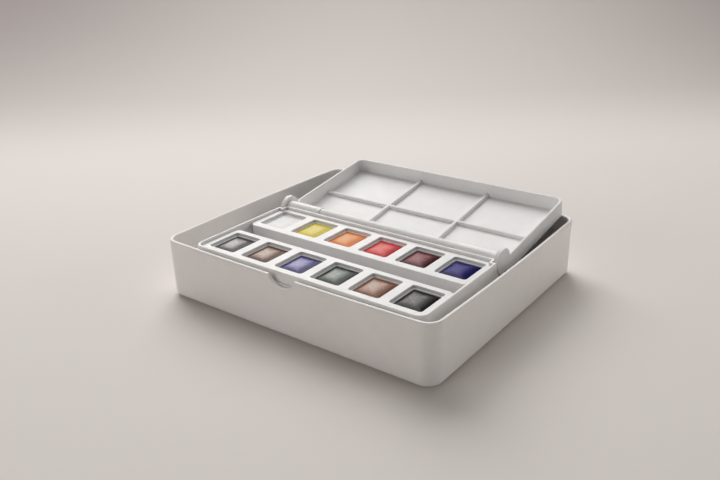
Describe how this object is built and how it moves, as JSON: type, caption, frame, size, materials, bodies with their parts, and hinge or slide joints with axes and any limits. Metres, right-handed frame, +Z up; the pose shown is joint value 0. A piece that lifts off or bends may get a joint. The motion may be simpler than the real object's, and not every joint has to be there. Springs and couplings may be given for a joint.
{
  "type": "watercolour paint box",
  "caption": "Open watercolour paint box: a rounded case with a paint tray, racks of half pans with domed paint blocks, and a hinged palette lid resting on the rear rim.",
  "frame": {"origin": "centre of the storage case's flat underside, on the table", "axes": "+X along the case's front to the right, +Y from the front to the back, +Z up"},
  "size_m": [0.1648, 0.1443, 0.041],
  "materials": {
    "case_plastic": "off-white moulded plastic, satin-matte with a fine grain",
    "tray_plastic": "off-white moulded plastic, satin-matte",
    "rack_plastic": "white moulded plastic, satin",
    "pan_plastic": "white moulded plastic, slightly glossy",
    "lid_plastic": "white moulded plastic, satin, smooth in the mixing wells",
    "pin_steel": "drawn steel wire",
    "paint_grey_black": "cast watercolour paint, dry, satin with a slight sheen",
    "paint_earth_brown": "cast watercolour paint, dry, satin with a slight sheen",
    "paint_blue_violet": "cast watercolour paint, dry, satin with a slight sheen",
    "paint_dark_green": "cast watercolour paint, dry, satin with a slight sheen",
    "paint_light_brown": "cast watercolour paint, dry, satin with a slight sheen",
    "paint_black": "cast watercolour paint, dry, satin with a slight sheen",
    "paint_white": "cast watercolour paint, dry, satin with a slight sheen",
    "paint_lemon_yellow": "cast watercolour paint, dry, satin with a slight sheen",
    "paint_orange": "cast watercolour paint, dry, satin with a slight sheen",
    "paint_red": "cast watercolour paint, dry, satin with a slight sheen",
    "paint_maroon": "cast watercolour paint, dry, satin with a slight sheen",
    "paint_deep_blue": "cast watercolour paint, dry, satin with a slight sheen"
  },
  "bodies": {
    "case": {"case": "case_plastic"},
    "tray": {"paint_tray": "tray_plastic", "front_pan_rack": "rack_plastic", "rear_pan_rack": "rack_plastic"},
    "lid": {"palette_lid": "lid_plastic", "hinge_pin_left": "pin_steel", "hinge_pin_right": "pin_steel"},
    "front_pan_1": {"front_pan_1": "pan_plastic", "front_paint_1": "paint_grey_black"},
    "front_pan_2": {"front_pan_2": "pan_plastic", "front_paint_2": "paint_earth_brown"},
    "front_pan_3": {"front_pan_3": "pan_plastic", "front_paint_3": "paint_blue_violet"},
    "front_pan_4": {"front_pan_4": "pan_plastic", "front_paint_4": "paint_dark_green"},
    "front_pan_5": {"front_pan_5": "pan_plastic", "front_paint_5": "paint_light_brown"},
    "front_pan_6": {"front_pan_6": "pan_plastic", "front_paint_6": "paint_black"},
    "rear_pan_1": {"rear_pan_1": "pan_plastic", "rear_paint_1": "paint_white"},
    "rear_pan_2": {"rear_pan_2": "pan_plastic", "rear_paint_2": "paint_lemon_yellow"},
    "rear_pan_3": {"rear_pan_3": "pan_plastic", "rear_paint_3": "paint_orange"},
    "rear_pan_4": {"rear_pan_4": "pan_plastic", "rear_paint_4": "paint_red"},
    "rear_pan_5": {"rear_pan_5": "pan_plastic", "rear_paint_5": "paint_maroon"},
    "rear_pan_6": {"rear_pan_6": "pan_plastic", "rear_paint_6": "paint_deep_blue"}
  },
  "joints": [
    {"name": "tray_lift", "type": "slide", "parent": "case", "child": "tray", "axis": [0, 0, 1], "range_m": [0, 0.04]},
    {"name": "lid_fold", "type": "hinge", "parent": "tray", "child": "lid", "pos_m": [0.00665, 0.00096, 0.0316], "axis": [-1, 0, 0], "range_deg": [-171.5, 0]},
    {"name": "front_pan_1_lift", "type": "slide", "parent": "tray", "child": "front_pan_1", "axis": [0, 0, 1], "range_m": [0, 0.016]},
    {"name": "front_pan_2_lift", "type": "slide", "parent": "tray", "child": "front_pan_2", "axis": [0, 0, 1], "range_m": [0, 0.016]},
    {"name": "front_pan_3_lift", "type": "slide", "parent": "tray", "child": "front_pan_3", "axis": [0, 0, 1], "range_m": [0, 0.016]},
    {"name": "front_pan_4_lift", "type": "slide", "parent": "tray", "child": "front_pan_4", "axis": [0, 0, 1], "range_m": [0, 0.016]},
    {"name": "front_pan_5_lift", "type": "slide", "parent": "tray", "child": "front_pan_5", "axis": [0, 0, 1], "range_m": [0, 0.016]},
    {"name": "front_pan_6_lift", "type": "slide", "parent": "tray", "child": "front_pan_6", "axis": [0, 0, 1], "range_m": [0, 0.016]},
    {"name": "rear_pan_1_lift", "type": "slide", "parent": "tray", "child": "rear_pan_1", "axis": [0, 0, 1], "range_m": [0, 0.016]},
    {"name": "rear_pan_2_lift", "type": "slide", "parent": "tray", "child": "rear_pan_2", "axis": [0, 0, 1], "range_m": [0, 0.016]},
    {"name": "rear_pan_3_lift", "type": "slide", "parent": "tray", "child": "rear_pan_3", "axis": [0, 0, 1], "range_m": [0, 0.016]},
    {"name": "rear_pan_4_lift", "type": "slide", "parent": "tray", "child": "rear_pan_4", "axis": [0, 0, 1], "range_m": [0, 0.016]},
    {"name": "rear_pan_5_lift", "type": "slide", "parent": "tray", "child": "rear_pan_5", "axis": [0, 0, 1], "range_m": [0, 0.016]},
    {"name": "rear_pan_6_lift", "type": "slide", "parent": "tray", "child": "rear_pan_6", "axis": [0, 0, 1], "range_m": [0, 0.016]}
  ]
}
